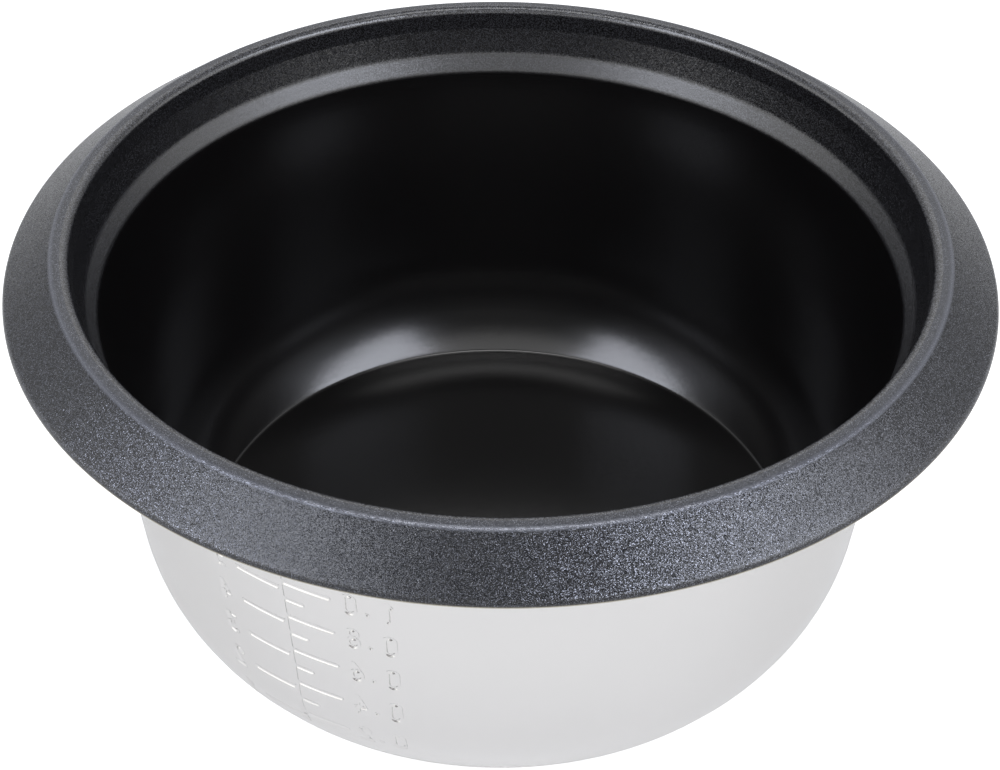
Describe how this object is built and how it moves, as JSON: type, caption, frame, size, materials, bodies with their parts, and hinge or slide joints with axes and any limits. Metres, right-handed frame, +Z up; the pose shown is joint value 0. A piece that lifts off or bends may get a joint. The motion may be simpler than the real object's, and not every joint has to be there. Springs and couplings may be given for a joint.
{
  "type": "rice cooker inner pot",
  "caption": "Round aluminium inner cooking pot of a rice cooker, with a dark non-stick lining, a sloping brim, a lid seat and a pressed water scale.",
  "frame": {"origin": "centre of the base's underside, on the surface that the pot stands on", "axes": "+Z up along the axis of the bowl, -Y front with the water scale to its left, +X right"},
  "size_m": [0.24, 0.24, 0.1066],
  "materials": {
    "satin_aluminium": "satin",
    "nonstick_lining": "satin non-stick",
    "nonstick_brim": "satin non-stick with a fine metallic flake"
  },
  "bodies": {
    "root": {"pot_shell": "satin_aluminium", "bowl_coating": "nonstick_lining", "brim_coating": "nonstick_brim"}
  },
  "joints": []
}
